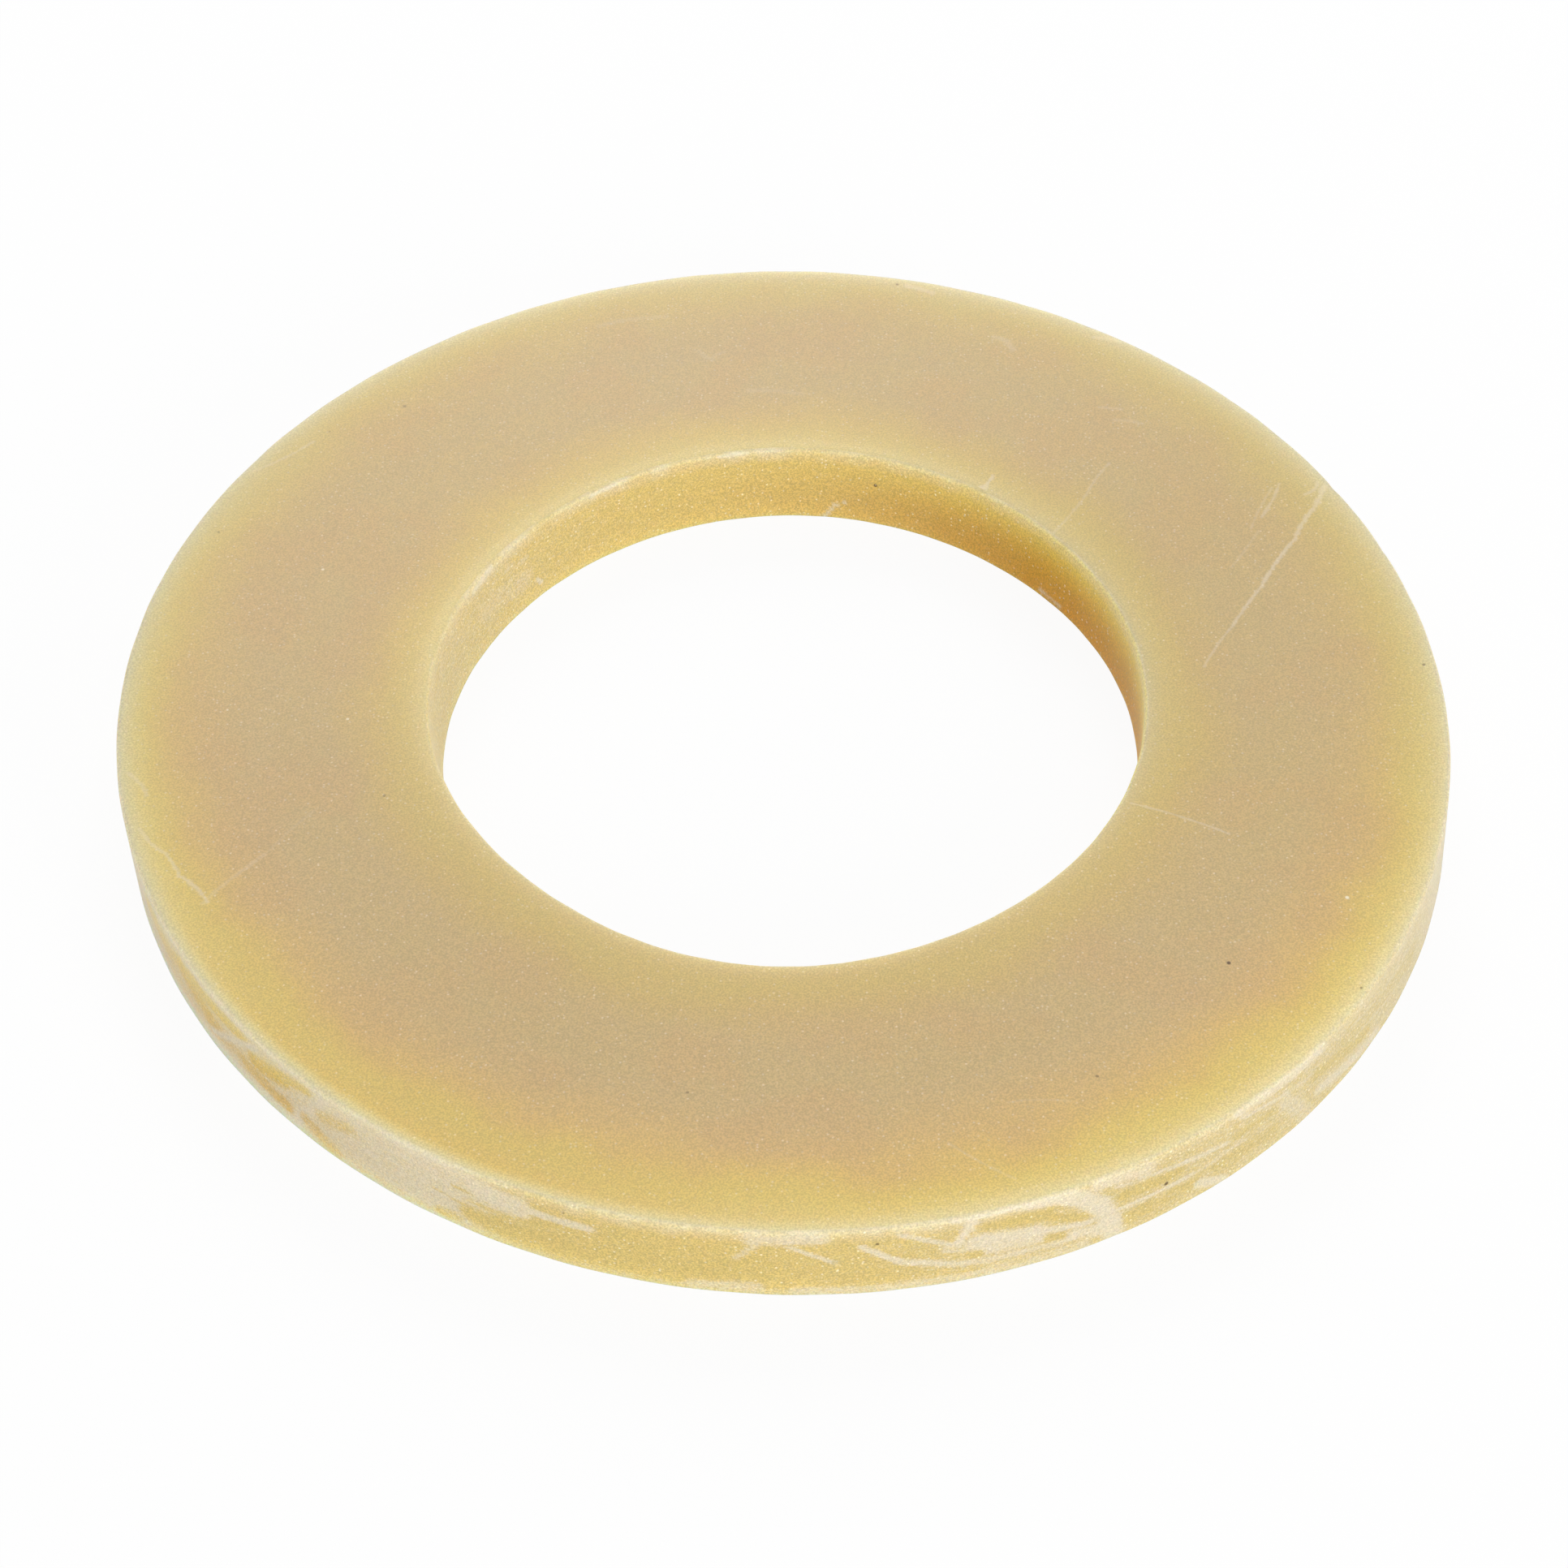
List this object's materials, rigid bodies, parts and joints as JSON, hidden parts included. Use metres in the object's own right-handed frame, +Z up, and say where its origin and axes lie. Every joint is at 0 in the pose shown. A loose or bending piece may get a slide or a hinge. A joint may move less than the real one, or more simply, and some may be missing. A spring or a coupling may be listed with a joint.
{
  "type": "flush valve seal",
  "caption": "Flat round ring of soft rubber that seals the outlet of a toilet cistern's flush valve, with plain faces and square-cut edges.",
  "frame": {"origin": "centre of the ring on its underside", "axes": "+Z up along the ring's axis; the ring is round, so +X and +Y are any two square directions across it"},
  "size_m": [0.0828, 0.0828, 0.0057],
  "materials": {
    "rubber": "satin, slightly cloudy amber, with a fine grain and light scuffs"
  },
  "bodies": {
    "root": {"seal_ring": "rubber"}
  },
  "joints": []
}
